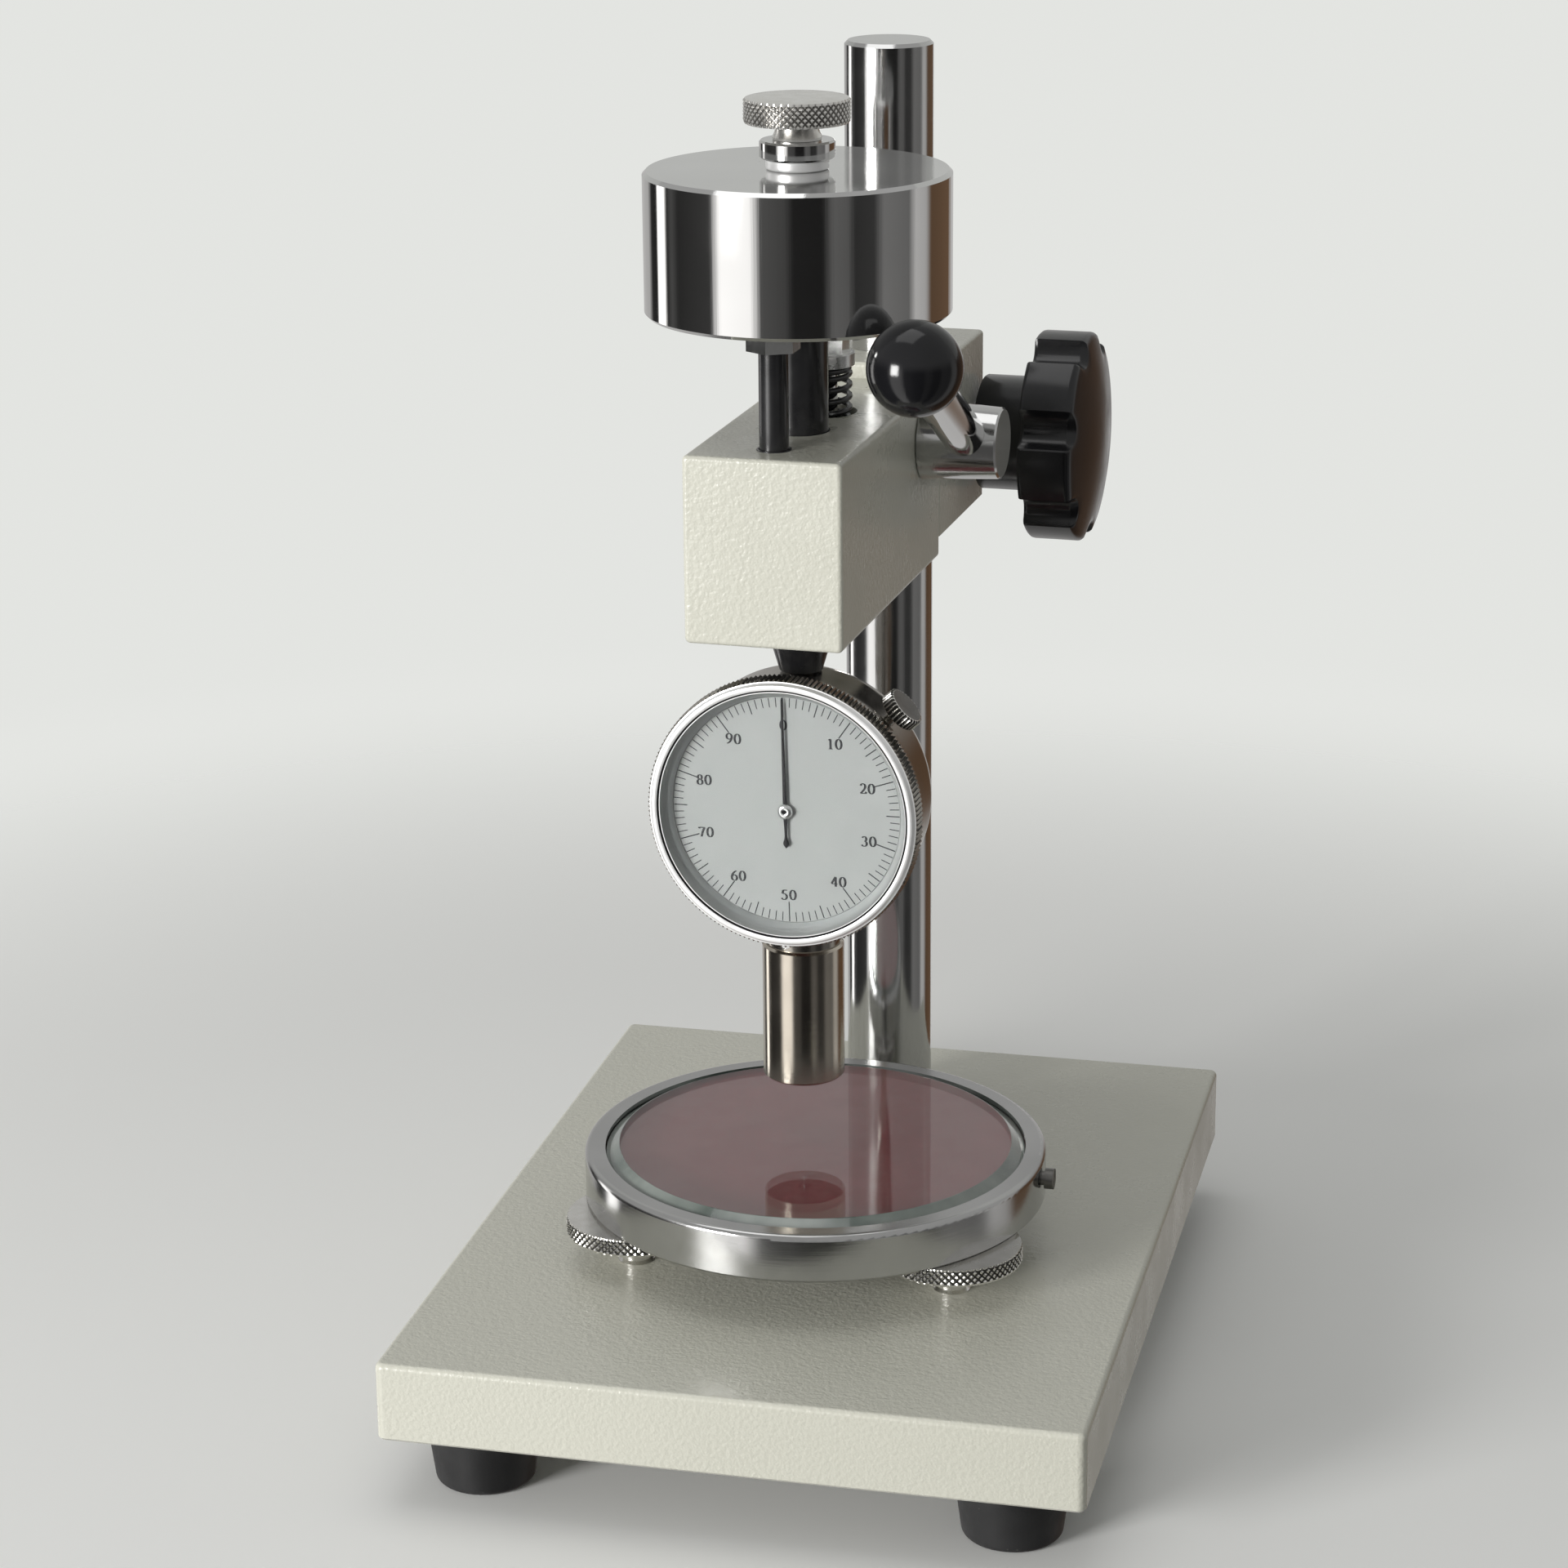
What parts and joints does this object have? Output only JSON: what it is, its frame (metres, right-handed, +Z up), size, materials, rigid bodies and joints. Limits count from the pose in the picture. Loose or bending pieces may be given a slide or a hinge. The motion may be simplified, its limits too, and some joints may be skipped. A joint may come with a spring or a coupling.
{
  "type": "hardness tester",
  "caption": "Dial durometer on a bench stand: a lever lowers a weighted spindle so the sprung indenter presses a specimen on a glass table",
  "frame": {"origin": "on the bench, under the middle of the base plate", "axes": "+Z up along the column, -Y towards the user and the dial, +X to the user's right"},
  "size_m": [0.15, 0.2024, 0.2865],
  "materials": {
    "ivory_paint": "orange-peel enamel",
    "black_rubber": "moulded, matt",
    "chrome": "polished plate",
    "zinc_steel": "zinc plated",
    "knurled_steel": "nickel plated, knurled edge",
    "black_steel": "black oxide",
    "bronze": "turned",
    "black_plastic": "moulded phenolic, glossy",
    "rose_backing": "sheet under the glass",
    "table_glass": "plate glass, ground edge",
    "case_metal": "satin plate",
    "satin_nickel": "satin nickel plate",
    "spring_steel": "bright",
    "dial_glass": "clear",
    "dial_face": "satin silver with printed scale",
    "needle_black": "black"
  },
  "bodies": {
    "stand": {"base_plate": "ivory_paint", "rubber_feet": "black_rubber", "foot_screws": "zinc_steel", "column_bolt": "zinc_steel", "table_disc": "chrome", "table_backing": "rose_backing", "table_glass": "table_glass", "table_side_screw": "zinc_steel"},
    "column": {"column": "chrome"},
    "level_front_left": {"level_screw_front_left": "knurled_steel"},
    "level_front_right": {"level_screw_front_right": "knurled_steel"},
    "level_back": {"level_screw_back": "knurled_steel"},
    "arm": {"clamp_block": "ivory_paint", "arm_housing": "ivory_paint", "frame_screws": "zinc_steel", "spindle_bushes": "bronze", "guide_bush": "black_steel", "spring_post": "zinc_steel", "lever_bushes": "bronze", "return_spring": "black_steel"},
    "clamp_knob": {"star_knob": "black_plastic", "clamp_stud": "zinc_steel", "clamp_washer": "zinc_steel"},
    "lever": {"lever_shaft": "chrome", "shaft_circlip": "black_steel", "lever_rod": "chrome", "lever_ferrule": "chrome", "lever_ball": "black_plastic", "lever_fork": "zinc_steel"},
    "spindle": {"spindle": "black_steel", "weight": "chrome", "guide_rod": "black_steel", "spring_rod": "chrome", "rod_nut": "zinc_steel", "spring_seat": "zinc_steel", "spring_washer": "zinc_steel", "top_spacer": "chrome", "top_collar": "chrome", "gauge_socket": "black_steel", "socket_screw": "black_steel", "gauge_case": "case_metal", "back_cover": "case_metal", "back_screws": "zinc_steel", "movement_frame": "bronze", "presser_foot": "satin_nickel", "foot_set_screw": "zinc_steel", "indenter_bush": "bronze", "force_spring": "spring_steel"},
    "top_screw": {"top_screw": "knurled_steel"},
    "bezel": {"bezel": "case_metal", "crystal": "dial_glass", "dial_plate": "dial_face"},
    "bezel_lock": {"bezel_lock_screw": "case_metal"},
    "indenter": {"indenter": "spring_steel"},
    "movement_gear": {"movement_gear": "bronze"},
    "needle": {"needle": "needle_black", "needle_arbor": "bronze"}
  },
  "joints": [
    {"name": "arm_swing", "type": "hinge", "parent": "stand", "child": "column", "pos_m": [0, 0.0645, 0.0325], "axis": [0, 0, 1], "range_deg": [-90, 90]},
    {"name": "arm_height", "type": "slide", "parent": "column", "child": "arm", "axis": [0, 0, 1], "range_m": [0, 0.065]},
    {"name": "clamp_knob_turn", "type": "hinge", "parent": "arm", "child": "clamp_knob", "pos_m": [0.01782, 0.07928, 0.1951], "axis": [0.9989, -0.0471, 0], "range_deg": [0, 180]},
    {"name": "spindle_slide", "type": "slide", "parent": "arm", "child": "spindle", "axis": [0, 0, -1], "range_m": [0, 0.0109], "stiffness_N_per_m": 1000, "springref_m": -0.03, "deforming": ["return_spring"]},
    {"name": "lever_swing", "type": "hinge", "parent": "arm", "child": "lever", "pos_m": [-0.00164, 0.02974, 0.2043], "axis": [0.9989, -0.0471, 0], "range_deg": [0, 16.03]},
    {"name": "top_screw_turn", "type": "hinge", "parent": "spindle", "child": "top_screw", "pos_m": [-0.00352, -0.01022, 0.2741], "axis": [0, 0, 1], "range_deg": [0, 360]},
    {"name": "bezel_turn", "type": "hinge", "parent": "spindle", "child": "bezel", "pos_m": [-0.00352, -0.01022, 0.1337], "axis": [-0.0471, -0.9989, 0], "range_deg": [-180, 180]},
    {"name": "bezel_lock_turn", "type": "hinge", "parent": "spindle", "child": "bezel_lock", "pos_m": [0.01673, -0.01538, 0.1528], "axis": [0.7305, -0.0345, 0.682], "range_deg": [0, 90]},
    {"name": "indenter_slide", "type": "slide", "parent": "spindle", "child": "indenter", "axis": [0, 0, 1], "range_m": [0, 0.0025], "stiffness_N_per_m": 3000, "springref_m": -0.00018, "deforming": ["force_spring"]},
    {"name": "movement_gear_turn", "type": "hinge", "parent": "spindle", "child": "movement_gear", "pos_m": [-0.00666, -0.01007, 0.12362], "axis": [-0.0471, -0.9989, 0], "range_deg": [0, 60.05]},
    {"name": "needle_turn", "type": "hinge", "parent": "spindle", "child": "needle", "pos_m": [-0.00352, -0.01022, 0.1337], "axis": [0.0471, 0.9989, 0], "range_deg": [0, 360.3]},
    {"name": "level_front_left_turn", "type": "hinge", "parent": "stand", "child": "level_front_left", "pos_m": [-0.03534, -0.03731, 0.041], "axis": [0, 0, 1], "range_deg": [-360, 360]},
    {"name": "level_front_right_turn", "type": "hinge", "parent": "stand", "child": "level_front_right", "pos_m": [0.03534, -0.03731, 0.041], "axis": [0, 0, 1], "range_deg": [-360, 360]},
    {"name": "level_back_turn", "type": "hinge", "parent": "stand", "child": "level_back", "pos_m": [0, 0.0271, 0.041], "axis": [0, 0, 1], "range_deg": [-360, 360]}
  ],
  "couplings": [
    {"joint": "lever_swing", "follows": "spindle_slide", "rad_per_m": 25.503},
    {"joint": "movement_gear_turn", "follows": "indenter_slide", "rad_per_m": 418.88},
    {"joint": "needle_turn", "follows": "indenter_slide", "rad_per_m": 2513.3}
  ]
}
